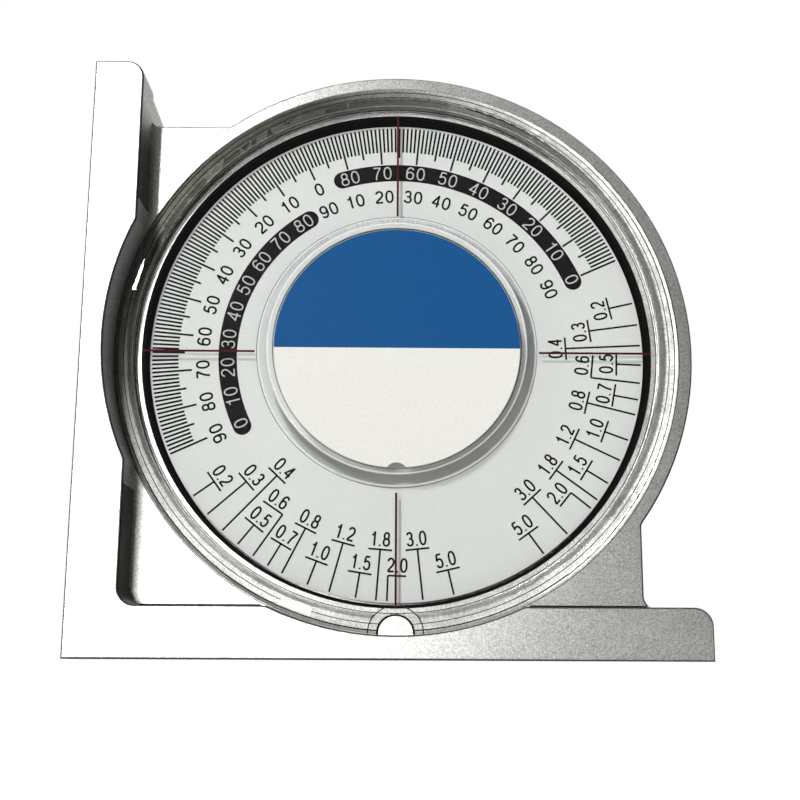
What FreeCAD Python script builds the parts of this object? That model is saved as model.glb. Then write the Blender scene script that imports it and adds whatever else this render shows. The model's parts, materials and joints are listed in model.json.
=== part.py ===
import FreeCAD, Part
import math
import os

# Magnetic inclinometer. A die-cast L-shaped body carries a round dial housing.
# A weighted dial hangs on a pivoted shaft behind a clear lens, so it stays level
# while the body is tilted, and block magnets hold two faces of the body to steel.
# Millimetres. X runs along the base, Y from the front to the back, Z up.
# Depths are measured backwards from the front plane of the two bars, and places
# in the face of the dial are measured from the pivot axis.

# Body
face_margin = 1.6           # base face and side face stand this far outside the ring
base_end_step = 0.6         # the base bar ends this far inside the ring's edge
side_end_step = 1.4         # the side bar does the same
bar_thickness = 8.6         # at the front plane
parting_growth = 0.1        # how much thicker the bars are at the parting plane
rear_shrink = 0.3           # how much the rear draft takes off again at the back
front_corner_r = 3.0
rear_corner_r = 4.3
inner_corner_r = 3.0
edge_break = 0.35

# Web plate and housing ring, one surface in the parting plane
plate_front = 7.2
plate_thickness = 3.0
plate_inset = 10.0          # the free edges of the web lie this far inside the ring's edge
plate_corner_r = 2.2
ring_wall = 2.3             # from the relief to the ring's edge
ring_corner_r = 1.6
relief_clearance = 0.2      # around the lens, in the round relief that the bars have for it
relief_draft = 0.12
relief_corner_r = 1.0

# Round chamber
ledge_width = 1.2           # the lens rests on this ledge around the bore
floor_gap = 0.5             # rivet heads to the floor
floor_wall = 2.0
drum_wall = 3.6
drum_draft = 0.3
drum_round_r = 1.0
drum_back_step = 0.4        # the drum ends this far short of the back plane
drum_rim = 5.0
drum_recess = 0.6
rib_thickness = 2.2
rib_height = 4.3
rib_inset = 6.0             # ribs to the free edges of the web

# Half-round key that stops the lens from turning
key_r = 2.9
key_inset = 0.2             # middle of its round end to the lens's edge
key_clearance = 0.2

# Magnets and pole plates
magnet_length = 24.0
magnet_width = 8.0
magnet_height = 4.0
magnet_inner_end = 18.0     # pivot axis to the near end of each magnet
pole_thickness = 1.5
pole_height = 4.2

# Lens
rim_height = 1.3
rim_width = 2.5             # flat land of the rim with its rounded edge
rim_round_r = 1.1
rim_slope_run = 0.7
rim_edge_r = 0.3
rim_rise = 1.1              # the rim stands this far in front of the window
window_thickness = 2.4
plug_clearance = 0.2
boss_height = 2.2
boss_lip_width = 1.1
boss_lip_edge_r = 0.4
boss_slope_run = 1.8
boss_foot_r = 0.8
boss_wall = 1.6             # between the label and the cavity for the bearing
cavity_r = 14.0
cavity_draft = 0.3
lens_bump_wall = 1.6
peg_r = 0.9
peg_length = 1.1
peg_inset = 4.5             # pegs to the edge of the cavity
peg_count = 3

# Label disc in the recess of the boss
label_r = 21.4
label_thickness = 0.2
label_clearance = 0.2
label_notch_r = 2.0
label_notch_height = 0.9

# Dial
dial_rest_turn = 24.6       # degrees counter-clockwise, as seen from the front
dial_r = 44.1
dial_gap = 2.15             # window to the dial's face
dial_face_thickness = 0.15
dial_plate_thickness = 0.8
dial_face_hole_r = 6.0
surround_gap = 0.4          # dial edge to the surround
surround_wall = 0.55
surround_slip = 0.05        # surround to the bore of the chamber
surround_front_gap = 0.1

# Hub, washer and nut
hub_r = 2.2
hub_flange_r = 6.0
hub_flange_thickness = 0.6
hub_end_step = 0.2          # the hub stands this far out of its nut
hub_washer_r = 4.5
hub_washer_thickness = 0.4
hub_nut_across = 6.0
hub_nut_thickness = 1.2

# Counterweight
weight_inset = 2.1          # weight to the edge of the dial
weight_width = 15.0
weight_thickness = 2.1
weight_half_angle = 52.0
weight_corner_r = 2.5
rivet_r = 1.0
rivet_head_r = 1.8
rivet_head_height = 0.5
rivet_angles = (-36.0, 0.0, 36.0)

# Pivot shaft and bearings
shaft_r = 1.0
pivot_r = 0.5
pivot_length = 1.2
running_clearance = 0.05
end_play = 0.2
front_bearing_gap = 1.0     # hub to the front bearing
rear_bearing_gap = 0.5
bearing_r = 1.6
bearing_flange_r = 2.4
bearing_flange_thickness = 0.3
bearing_floor = 0.3
rear_bush_r = 1.2

# Bearing carrier inside the boss
carrier_thickness = 0.7
carrier_edge_gap = 0.5
carrier_boss_r = 3.6
peg_clearance = 0.1

# Rear bearing screw and its lock nut
screw_r = 2.0
screw_end_step = 0.4
screw_slot_width = 0.7
screw_slot_depth = 0.9
screw_boss_r = 5.0
screw_boss_step = 0.3       # the boss ends this far behind the screw's tip
nut_across = 7.0
nut_thickness = 1.5
nut_recess_r = 7.0
nut_recess_depth = 1.9

# Places from the pivot axis outwards: dial, surround, bore, lens, relief, ring, bars
surround_inner_r = dial_r + surround_gap
bore_r = surround_inner_r + surround_wall + surround_slip
counterbore_r = bore_r + ledge_width
rim_slope_r = counterbore_r + rim_slope_run
rim_r = rim_slope_r + rim_width
relief_r = rim_r + relief_clearance
ring_r = relief_r + ring_wall
face_offset = ring_r + face_margin
base_reach = ring_r - base_end_step
side_reach = ring_r - side_end_step
plate_reach = ring_r - plate_inset
rib_place = plate_reach - rib_inset
key_place = rim_r - key_inset
weight_outer_r = dial_r - weight_inset
weight_inner_r = weight_outer_r - weight_width

# Depths from the web to the window, the dial, the floor of the chamber and the back
plate_back = plate_front + plate_thickness
rim_front = plate_front - rim_height
window_front = rim_front + rim_rise
boss_front = window_front - boss_height
ledge_depth = window_front + window_thickness
dial_face_depth = ledge_depth + dial_gap
dial_plate_front = dial_face_depth + dial_face_thickness
dial_back = dial_plate_front + dial_plate_thickness
weight_back = dial_back + weight_thickness
floor_depth = weight_back + rivet_head_height + floor_gap
drum_back = floor_depth + floor_wall
body_depth = drum_back + drum_back_step
hub_front = dial_plate_front - hub_washer_thickness - hub_nut_thickness - hub_end_step
hub_back = dial_back + hub_flange_thickness
front_bearing_face = hub_front - front_bearing_gap
rear_bearing_face = hub_back + rear_bearing_gap
shaft_front = front_bearing_face + end_play
shaft_rear = rear_bearing_face - end_play

# Frame: the box of the whole part is centred on X and Y and stands on Z = 0
axis_x = (face_offset - max(base_reach, ring_r)) / 2
axis_z = face_offset
front_y = -body_depth / 2

drum_r = bore_r + drum_wall
inner_face = face_offset - bar_thickness
boss_recess_r = label_r + label_clearance
boss_lip_r = boss_recess_r + boss_lip_width
boss_base_r = boss_lip_r + boss_slope_run
boss_recess_depth = boss_front + 2 * label_thickness
cavity_depth = boss_recess_depth + boss_wall
peg_circle_r = cavity_r - peg_inset
carrier_back = cavity_depth + carrier_thickness
carrier_boss_back = front_bearing_face - bearing_flange_thickness

BACKWARDS = FreeCAD.Vector(0, 1, 0)


def at(x, depth, z):
    """Point of the frame, from its place beside the pivot axis and its depth."""
    return FreeCAD.Vector(axis_x + x, front_y + depth, axis_z + z)


def cylinder(radius, near, far, x=0.0, z=0.0):
    return Part.makeCylinder(radius, far - near, at(x, near, z), BACKWARDS)


def cone(near_r, far_r, near, far):
    return Part.makeCone(near_r, far_r, far - near, at(0, near, 0), BACKWARDS)


def ring(outer_r, inner_r, near, far):
    return cylinder(outer_r, near, far).cut(cylinder(inner_r, near, far))


def block(x0, x1, near, far, z0, z1):
    return Part.makeBox(x1 - x0, far - near, z1 - z0, at(x0, near, z0))


def rounded_wire(corners, place):
    """Closed wire through corners of (u, v, radius), each rounded by a tangent arc."""
    flat = [(FreeCAD.Vector(u, v, 0), radius) for u, v, radius in corners]
    runs = []
    arcs = []
    for i, (corner, radius) in enumerate(flat):
        before = flat[i - 1][0] - corner
        after = flat[(i + 1) % len(flat)][0] - corner
        if radius == 0:
            runs.append((corner, corner))
            arcs.append(None)
            continue
        before.normalize()
        after.normalize()
        half_angle = before.getAngle(after) / 2
        reach = radius / math.tan(half_angle)
        middle = before + after
        middle.normalize()
        depth = radius / math.sin(half_angle) - radius
        runs.append((corner + before * reach, corner + after * reach))
        arcs.append(corner + middle * depth)
    edges = []
    for i, (start, end) in enumerate(runs):
        if arcs[i] is not None:
            bend = Part.Arc(*[place(p.x, p.y) for p in (start, arcs[i], end)])
            edges.append(bend.toShape())
        following = runs[(i + 1) % len(runs)][0]
        edges.append(Part.makeLine(place(end.x, end.y), place(following.x, following.y)))
    return Part.Wire(edges)


def slab(corners, near, far):
    """Plate of the outline's shape, from one depth to another."""
    wire = rounded_wire(corners, lambda x, z: at(x, near, z))
    return Part.Face(wire).extrude(BACKWARDS * (far - near))


def turned(corners):
    """Body of revolution about the pivot axis, from corners of (radius, depth, rounding)."""
    wire = rounded_wire(corners, lambda r, depth: at(r, depth, 0))
    return Part.Face(wire).revolve(at(0, 0, 0), BACKWARDS, 360)


def hexagon(across, near, far):
    corner_r = across / math.sqrt(3)
    corners = [(corner_r * math.cos(math.radians(60 * i)), corner_r * math.sin(math.radians(60 * i)), 0)
               for i in range(6)]
    return slab(corners, near, far)


def turn_dial(shape):
    """The dial hangs as it is shown: turned counter-clockwise, seen from the front."""
    shape.rotate(at(0, 0, 0), -BACKWARDS, dial_rest_turn)
    return shape


def depth_edges(shape, places):
    """Edges that run straight back at the given places beside the axis."""
    found = []
    for edge in shape.Edges:
        across = edge.BoundBox.XLength + edge.BoundBox.ZLength
        middle = edge.CenterOfMass
        for x, z in places:
            aside = math.hypot(middle.x - axis_x - x, middle.z - axis_z - z)
            if across < edge_break and aside < edge_break:
                found.append(edge)
    return found


def flat_edges(shape, depth):
    """Edges that lie whole in the plane at one depth."""
    y = front_y + depth
    return [edge for edge in shape.Edges
            if max(abs(edge.BoundBox.YMin - y), abs(edge.BoundBox.YMax - y)) < edge_break / 2]


def bar_wire(thickness, corner_r, depth):
    """Outline of the two bars, which meet in a square outer corner."""
    inner = -(face_offset - thickness)
    corners = [(-face_offset, -face_offset, 0),
               (base_reach, -face_offset, 0),
               (base_reach, inner, corner_r),
               (inner, inner, inner_corner_r),
               (inner, side_reach, corner_r),
               (-face_offset, side_reach, 0)]
    return rounded_wire(corners, lambda x, z: at(x, depth, z))


def bars():
    """Front and rear halves, drafted away from the parting plane between them."""
    parting = bar_thickness + parting_growth
    rear = parting - rear_shrink
    front_half = Part.makeLoft([bar_wire(bar_thickness, front_corner_r, 0),
                                bar_wire(parting, front_corner_r, plate_front)], True, True)
    rear_half = Part.makeLoft([bar_wire(parting, rear_corner_r, plate_front),
                               bar_wire(rear, rear_corner_r, body_depth)], True, True)
    return front_half.fuse(rear_half)


def web_and_ring():
    """Web between the bars, which flares into them at its free edges, and the round ring."""
    inside = inner_face + bar_thickness / 2
    foot = plate_reach + plate_corner_r + edge_break
    web = slab([(-inside, -inside, 0), (foot, -inside, 0), (foot, -inner_face, 0),
                (plate_reach, -inner_face, plate_corner_r), (plate_reach, 0, 0), (0, 0, 0),
                (0, plate_reach, 0), (-inner_face, plate_reach, plate_corner_r),
                (-inner_face, foot, 0), (-inside, foot, 0)],
               plate_front, plate_back)
    web = web.fuse(cylinder(ring_r, plate_front, plate_back)).removeSplitter()
    meeting = math.sqrt(ring_r ** 2 - plate_reach ** 2)
    web = web.makeFillet(ring_corner_r, depth_edges(web, [(plate_reach, -meeting), (-meeting, plate_reach)]))
    return web.makeChamfer(edge_break, flat_edges(web, plate_front))


def drum():
    """Back of the chamber, drafted and rounded towards the rear."""
    return turned([(0, plate_back, 0), (drum_r, plate_back, 0),
                   (drum_r - drum_draft, drum_back, drum_round_r), (0, drum_back, 0)])


def ribs():
    """Three ribs on the back of the web, from the bars to the drum."""
    half = rib_thickness / 2
    inside = inner_face + bar_thickness / 2
    across = math.sqrt(drum_r ** 2 - rib_place ** 2)
    rib_back = plate_back + rib_height
    side_rib = block(-inside, -across, plate_back, rib_back, rib_place - half, rib_place + half)
    base_rib = block(rib_place - half, rib_place + half, plate_back, rib_back, -inside, -across)
    corner_rib = block(-inside * math.sqrt(2), -drum_r, plate_back, rib_back, -half, half)
    corner_rib.rotate(at(0, 0, 0), BACKWARDS, -45)
    return [side_rib, base_rib, corner_rib]


def magnet_pocket_spans():
    """Start and end of each magnet along its bar, on both sides of the pivot axis."""
    outer_end = magnet_inner_end + magnet_length
    return [(-outer_end, -magnet_inner_end), (magnet_inner_end, outer_end)]


def base_blocks(near, far, height):
    return [block(start, end, near, far, -face_offset, -face_offset + height)
            for start, end in magnet_pocket_spans()]


def side_blocks(near, far, height):
    return [block(-face_offset, -face_offset + height, near, far, start, end)
            for start, end in magnet_pocket_spans()]


def pole_depths():
    """Near and far depth of the magnets, which lie in the middle of the bars."""
    near = (body_depth - magnet_width) / 2
    return near, near + magnet_width


def body_casting():
    body = bars().fuse([web_and_ring(), drum()])
    body = body.fuse(ribs()).removeSplitter()
    body = body.makeFillet(edge_break, flat_edges(body, body_depth))
    body = body.cut(cone(relief_r, relief_r - relief_draft, 0, plate_front))
    leaving = math.sqrt(relief_r ** 2 - inner_face ** 2)
    body = body.makeFillet(relief_corner_r, depth_edges(body, [(-leaving, -inner_face), (leaving, -inner_face),
                                                               (-inner_face, leaving)]))
    key = cylinder(key_r, rim_front, plate_front, 0, -key_place)
    body = body.fuse(key.fuse(block(-key_r, key_r, rim_front, plate_front, -relief_r - key_r, -key_place)))

    body = body.cut(cylinder(counterbore_r, plate_front, ledge_depth))
    body = body.cut(cylinder(bore_r, ledge_depth, floor_depth))
    body = body.cut(cylinder(drum_r - drum_rim, drum_back - drum_recess, drum_back))
    body = body.fuse(cylinder(screw_boss_r, rear_bearing_face + screw_boss_step, floor_depth))
    body = body.cut(cylinder(nut_recess_r, body_depth - nut_recess_depth, drum_back))
    body = body.cut(cylinder(screw_r, rear_bearing_face, drum_back))

    near, far = pole_depths()
    pockets = base_blocks(near - pole_thickness, far + pole_thickness, pole_height)
    pockets += side_blocks(near - pole_thickness, far + pole_thickness, pole_height)
    body = body.cut(pockets).removeSplitter()
    return body.makeFillet(edge_break, flat_edges(body, 0))


def magnets(blocks):
    near, far = pole_depths()
    return Part.makeCompound(blocks(near, far, magnet_height))


def pole_plates(blocks):
    near, far = pole_depths()
    return Part.makeCompound(blocks(near - pole_thickness, near, pole_height)
                             + blocks(far, far + pole_thickness, pole_height))


def on_circle(radius, count):
    """Places of a round pattern, the first one straight up."""
    angles = [math.radians(90 + 360 * i / count) for i in range(count)]
    return [(radius * math.cos(angle), radius * math.sin(angle)) for angle in angles]


def lens():
    """Clear moulding: plug, window, rounded rim and a boss with a cavity behind it."""
    plug_r = counterbore_r - plug_clearance
    shell = turned([(0, boss_recess_depth, 0), (boss_recess_r, boss_recess_depth, 0),
                    (boss_recess_r, boss_front, 0), (boss_lip_r, boss_front, boss_lip_edge_r),
                    (boss_base_r, window_front, boss_foot_r), (counterbore_r, window_front, rim_edge_r),
                    (rim_slope_r, rim_front, rim_edge_r), (rim_r, rim_front, rim_round_r),
                    (rim_r, plate_front, 0), (plug_r, plate_front, 0),
                    (plug_r, ledge_depth, 0), (cavity_r + cavity_draft, ledge_depth, 0),
                    (cavity_r, cavity_depth, 0), (0, cavity_depth, 0)])
    notch_r = key_r + key_clearance
    bump = cylinder(notch_r + lens_bump_wall, rim_front, window_front, 0, -key_place)
    shell = shell.fuse(bump.common(cylinder(rim_r - rim_round_r, rim_front, window_front)))
    notch = cylinder(notch_r, rim_front, plate_front, 0, -key_place)
    notch = notch.fuse(block(-notch_r, notch_r, rim_front, plate_front, -rim_r - notch_r, -key_place))
    shell = shell.cut(notch)
    pegs = [cylinder(peg_r, cavity_depth, cavity_depth + peg_length, x, z)
            for x, z in on_circle(peg_circle_r, peg_count)]
    return shell.fuse(pegs).removeSplitter()


def label_disc():
    front = boss_recess_depth - label_thickness
    notch_z = -(label_r - label_notch_height + label_notch_r)
    return cylinder(label_r, front, boss_recess_depth).cut(
        cylinder(label_notch_r, front, boss_recess_depth, 0, notch_z))


def bearing_carrier():
    """White disc staked in the cavity of the boss, with the front bearing in its middle."""
    carrier = cylinder(cavity_r - carrier_edge_gap, cavity_depth, carrier_back)
    carrier = carrier.fuse(cylinder(carrier_boss_r, carrier_back, carrier_boss_back))
    for x, z in on_circle(peg_circle_r, peg_count):
        carrier = carrier.cut(cylinder(peg_r + peg_clearance, cavity_depth, carrier_back, x, z))
    return carrier.cut(cylinder(bearing_r, cavity_depth, carrier_boss_back))


def front_bearing():
    """Flanged bush with a blind bore that is also the end stop of the shaft."""
    bore_end = shaft_front - pivot_length - end_play
    bush = cylinder(bearing_r, bore_end - bearing_floor, carrier_boss_back)
    bush = bush.fuse(cylinder(bearing_flange_r, carrier_boss_back, front_bearing_face))
    return bush.cut(cylinder(pivot_r + running_clearance, bore_end, front_bearing_face))


def rear_bearing():
    bore_end = shaft_rear + pivot_length + end_play
    bush = cylinder(rear_bush_r, rear_bearing_face, bore_end + bearing_floor)
    return bush.cut(cylinder(pivot_r + running_clearance, rear_bearing_face, bore_end))


def rear_bearing_screw():
    """Slotted screw in the floor of the chamber, which sets the end play of the shaft."""
    end = body_depth - screw_end_step
    bush_end = shaft_rear + pivot_length + end_play + bearing_floor
    half_slot = screw_slot_width / 2
    screw = cylinder(screw_r, rear_bearing_face, end)
    screw = screw.cut(cylinder(rear_bush_r, rear_bearing_face, bush_end))
    return screw.cut(block(-screw_r, screw_r, end - screw_slot_depth, end, -half_slot, half_slot))


def lock_nut():
    seat = body_depth - nut_recess_depth
    return hexagon(nut_across, seat, seat + nut_thickness).cut(cylinder(screw_r, seat, seat + nut_thickness))


def dial_surround():
    """Thin black ring that lines the chamber around the edge of the dial."""
    return ring(bore_r - surround_slip, surround_inner_r, ledge_depth + surround_front_gap, floor_depth)


def pivot_shaft():
    shaft = cylinder(shaft_r, shaft_front, shaft_rear)
    return shaft.fuse([cylinder(pivot_r, shaft_front - pivot_length, shaft_front),
                       cylinder(pivot_r, shaft_rear, shaft_rear + pivot_length)])


def dial_face():
    return ring(dial_r, dial_face_hole_r, dial_face_depth, dial_plate_front)


def rivet_places():
    """Places of the rivets on the middle circle of the counterweight."""
    middle_r = (weight_outer_r + weight_inner_r) / 2
    angles = [math.radians(angle - 90) for angle in rivet_angles]
    return [(middle_r * math.cos(angle), middle_r * math.sin(angle)) for angle in angles]


def dial_plate():
    plate = ring(dial_r, hub_r, dial_plate_front, dial_back)
    holes = [cylinder(rivet_r, dial_plate_front, dial_back, x, z) for x, z in rivet_places()]
    return turn_dial(plate.cut(holes))


def counterweight():
    """Crescent-shaped weight below the pivot, on the back of the dial plate."""
    reach = weight_outer_r * 2
    spread = math.radians(weight_half_angle)
    wedge = slab([(0, 0, 0), (-reach * math.sin(spread), -reach * math.cos(spread), 0), (0, -reach * 2, 0),
                  (reach * math.sin(spread), -reach * math.cos(spread), 0)],
                 dial_back, weight_back)
    weight = ring(weight_outer_r, weight_inner_r, dial_back, weight_back).common(wedge)
    ends = [(side * radius * math.sin(spread), -radius * math.cos(spread))
            for side in (-1, 1) for radius in (weight_inner_r, weight_outer_r)]
    weight = weight.makeFillet(weight_corner_r, depth_edges(weight, ends))
    holes = [cylinder(rivet_r, dial_back, weight_back, x, z) for x, z in rivet_places()]
    return turn_dial(weight.cut(holes))


def counterweight_rivets():
    """Rivets that end flush under the printed face and have their heads on the weight."""
    rivets = []
    for x, z in rivet_places():
        head = cylinder(rivet_head_r, weight_back, weight_back + rivet_head_height, x, z)
        rivets.append(cylinder(rivet_r, dial_plate_front, weight_back, x, z).fuse(head))
    return turn_dial(Part.makeCompound(rivets))


def dial_hub():
    hub = cylinder(hub_r, hub_front, dial_back)
    hub = hub.fuse(cylinder(hub_flange_r, dial_back, hub_back))
    return hub.cut(cylinder(shaft_r, hub_front, hub_back))


def hub_washer():
    return ring(hub_washer_r, hub_r, dial_plate_front - hub_washer_thickness, dial_plate_front)


def hub_nut():
    seat = dial_plate_front - hub_washer_thickness
    nut = hexagon(hub_nut_across, seat - hub_nut_thickness, seat)
    return turn_dial(nut.cut(cylinder(hub_r, seat - hub_nut_thickness, seat)))


nodes = {
    "body_casting": body_casting(),
    "base_magnets": magnets(base_blocks),
    "base_pole_plates": pole_plates(base_blocks),
    "side_magnets": magnets(side_blocks),
    "side_pole_plates": pole_plates(side_blocks),
    "lens": lens(),
    "label_disc": label_disc(),
    "bearing_carrier": bearing_carrier(),
    "front_bearing": front_bearing(),
    "rear_bearing": rear_bearing(),
    "rear_bearing_screw": rear_bearing_screw(),
    "lock_nut": lock_nut(),
    "dial_surround": dial_surround(),
    "pivot_shaft": pivot_shaft(),
    "dial_face": dial_face(),
    "dial_plate": dial_plate(),
    "counterweight": counterweight(),
    "counterweight_rivets": counterweight_rivets(),
    "dial_hub": dial_hub(),
    "hub_washer": hub_washer(),
    "hub_nut": hub_nut(),
}

os.makedirs("parts", exist_ok=True)
for name, shape in nodes.items():
    shape.exportStep("parts/" + name + ".step")
    print(name, "solids", len(shape.Solids), "volume", round(shape.Volume, 1), "valid", shape.isValid())
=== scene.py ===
# %% [markdown]
# # A magnetic inclinometer, finished and photographed
#
# The instrument is an L-shaped die casting with a round chamber. A weighted dial hangs in
# the chamber behind a clear lens. The solids are already there, each at its real size, so
# this lesson adds what the finishing room and the print shop add: the grain of the casting,
# the clear plastic, the printed scales, the cross hair and the light of the picture.

# %% Load the model
import json
import math
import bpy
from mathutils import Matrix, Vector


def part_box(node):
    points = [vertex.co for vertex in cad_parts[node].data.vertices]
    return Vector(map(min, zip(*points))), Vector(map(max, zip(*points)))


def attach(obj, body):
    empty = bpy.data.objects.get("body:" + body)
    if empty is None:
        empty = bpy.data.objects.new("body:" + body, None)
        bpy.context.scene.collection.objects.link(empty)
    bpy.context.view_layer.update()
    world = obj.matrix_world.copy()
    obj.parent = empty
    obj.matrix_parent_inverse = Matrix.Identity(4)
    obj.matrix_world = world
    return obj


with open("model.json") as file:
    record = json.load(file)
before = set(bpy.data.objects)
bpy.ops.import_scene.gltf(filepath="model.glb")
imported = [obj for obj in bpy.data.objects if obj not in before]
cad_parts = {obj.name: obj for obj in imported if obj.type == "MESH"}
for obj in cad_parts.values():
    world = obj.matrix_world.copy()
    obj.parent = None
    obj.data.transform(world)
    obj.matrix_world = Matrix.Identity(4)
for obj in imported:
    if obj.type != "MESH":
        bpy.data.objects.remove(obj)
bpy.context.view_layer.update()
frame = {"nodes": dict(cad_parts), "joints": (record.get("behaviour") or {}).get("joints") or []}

from types import SimpleNamespace
import bmesh
import bpy
from mathutils import Matrix, Vector

mm = 0.001
nodes = frame["nodes"]

# %% [markdown]
# ## Places that everything else hangs on
#
# The pivot of the dial is the centre of every print, so it is read from the joint instead
# of being typed in again. The depths of the printed faces come from the solids too.

# %% Find the pivot axis and the printed faces
pivot = Vector(frame["joints"][0]["pos_m"])
front_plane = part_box("body_casting")[0].y
dial_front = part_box("dial_face")[0].y
window_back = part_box("lens")[1].y
dial_r = (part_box("dial_face")[1].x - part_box("dial_face")[0].x) / 2
print("dial radius in mm:", round(dial_r / mm, 2), "dial depth:", round((dial_front - front_plane) / mm, 2))

# %% [markdown]
# ## The camera first
#
# A close, slightly low camera makes the near bars large and lets the eye look up under the
# lens rim. The picture was fitted with a focal length of 1025 pixels on a picture 800 wide,
# and its optical axis meets the picture 70 pixels below the middle, which is a small shift.

# %% Place the camera
PICTURE_WIDTH = 800
FOCAL_PIXELS = 1025
AXIS_BELOW_MIDDLE = 70
camera_data = bpy.data.cameras.new("camera")
camera_data.sensor_width = 36
camera_data.lens = camera_data.sensor_width * FOCAL_PIXELS / PICTURE_WIDTH
camera_data.shift_y = AXIS_BELOW_MIDDLE / PICTURE_WIDTH
camera_data.clip_start = 5 * mm
camera = bpy.data.objects.new("camera", camera_data)
bpy.context.scene.collection.objects.link(camera)
bpy.context.scene.camera = camera

camera_place = Vector((pivot.x - 0.7 * mm, front_plane - 166.7 * mm, pivot.z - 51.8 * mm))
camera_yaw = math.radians(-0.44)
camera_pitch = math.radians(9.9)
camera_roll = math.radians(0.27)
camera.matrix_world = (Matrix.Translation(camera_place) @ Matrix.Rotation(camera_yaw, 4, "Z")
                       @ Matrix.Rotation(math.radians(90) + camera_pitch, 4, "X")
                       @ Matrix.Rotation(camera_roll, 4, "Z"))
print("camera above the floor in mm:", round(camera_place.z / mm, 2))

# %% [markdown]
# ## One function for every node
#
# Colours are chosen from a picture, so they are sRGB hex values, while the renderer
# works in linear light. One function turns them. A second one adds a node, sets its values
# and links its inputs, which keeps each material a short list from pattern to surface.

# %% Define the colour function and the node function
def linear(hex_colour):
    """Linear RGBA of an sRGB hex colour."""
    parts = [int(hex_colour[i:i + 2], 16) / 255 for i in (1, 3, 5)]
    return [p / 12.92 if p <= 0.04045 else ((p + 0.055) / 1.055) ** 2.4 for p in parts] + [1.0]


def add(tree, kind, settings=None, stops=(), **inputs):
    """Add a node with its settings, the stops of its colour ramp and its inputs.

    An input goes by its own name in lower case, or by its place as i0, i1 and so on. It takes a
    value, another node's output, or another node, which stands for its first output in use.
    """
    node = tree.nodes.new("ShaderNode" + kind)
    for name, value in (settings or {}).items():
        setattr(node, name, value)
    for index, (position, colour) in enumerate(stops):
        node.color_ramp.elements[index].position = position
        node.color_ramp.elements[index].color = linear(colour)
    for name, value in inputs.items():
        if name[1:].isdigit():
            socket = node.inputs[int(name[1:])]
        else:
            title = name.replace("_", " ")
            socket = next(s for s in node.inputs if s.enabled and s.name.lower() == title)
        if isinstance(value, bpy.types.Node):
            value = next(s for s in value.outputs if s.enabled)
        if isinstance(value, bpy.types.NodeSocket):
            tree.links.new(value, socket)
        else:
            socket.default_value = value
    return node


print("mid grey in linear light:", round(linear("#808080")[0], 3))

# %% [markdown]
# Nodes that do arithmetic are told apart by a setting only. Each setting gets a plain word:
# two shares that must both hold are multiplied, and where either will do, the larger one is
# taken. A noise mostly lies between 0.3 and 0.7, so its colours are spread over that.

# %% Name the settings and the usual spans
BOTH = {"operation": "MULTIPLY"}
EITHER = {"operation": "MAXIMUM"}
SUM = {"operation": "ADD"}
OVER = {"operation": "GREATER_THAN"}
UNDER = {"operation": "LESS_THAN"}
NEAR = {"operation": "COMPARE"}
UNSIGNED = {"operation": "ABSOLUTE"}
DISTANCE = {"operation": "DISTANCE"}
ALONG = {"operation": "DOT_PRODUCT"}
BLEND = {"data_type": "RGBA"}
TINT = {"data_type": "RGBA", "blend_type": "MULTIPLY"}
NOISE_LOW, NOISE_HIGH = 0.3, 0.7


def between(low, high):
    """Inputs that make a NEAR node give 1 between two limits, and 0 outside them."""
    return {"i1": (low + high) / 2, "i2": (high - low) / 2}


def tones(dark, light):
    """Colour stops that spread a noise from dark to light."""
    return (NOISE_LOW, dark), (NOISE_HIGH, light)


def per_mm(grain):
    """Texture scale that makes one cell of a pattern as large as the grain, in millimetres."""
    return 1 / (grain * mm)


def new_material(name):
    """Empty node material, its tree, and the object's own coordinates in metres."""
    material = bpy.data.materials.new(name)
    material.use_nodes = True
    tree = material.node_tree
    tree.nodes.clear()
    return material, tree, add(tree, "TexCoord").outputs["Object"]


print("cells per metre of a pattern with a grain of 0.5 mm:", round(per_mm(0.5)))

# %% [markdown]
# ## Die-cast aluminium
#
# The body is a cold-chamber die casting, lightly tumbled: its skin is matte grey with a fine
# sparkle, because small facets of the skin tilt each their own way. The sparkle is a fine
# cell pattern in the bump, and the same cells are painted into the colour as glints and
# shaded facets. A fine noise varies the roughness, and a slower noise gives the cloudy tone
# that the flow of metal leaves. Facets and noise are about one pixel of the picture wide,
# coarser than real ones, which would not show.

# %% Make the cast skin
cloud_size = 9.0
skin_size = 0.16
facet_size = 0.17


def cast_skin(tree, place):
    """Colour of the clean skin with its painted glints, its fine noise, and its facets' brightness."""
    cloud = add(tree, "TexNoise", vector=place, scale=per_mm(cloud_size), detail=3.0, roughness=0.5)
    skin = add(tree, "TexNoise", vector=place, scale=per_mm(skin_size), detail=2.0, roughness=0.6)
    facets = add(tree, "TexVoronoi", vector=place, scale=per_mm(facet_size))
    sparkle = add(tree, "SeparateColor", color=facets.outputs["Color"])
    tone = add(tree, "ValToRGB", stops=tones("#c2c2be", "#cbcbc7"), fac=cloud)
    # painted glints and shaded facets: the facets' brightness tints the colour
    painted_glint = add(tree, "ValToRGB", stops=((0.1, "#747472"), (0.9, "#ffffff")), fac=sparkle)
    return add(tree, "Mix", TINT, factor=0.5, a=tone, b=painted_glint), skin, sparkle


print("facets of the skin across in mm:", facet_size)
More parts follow.
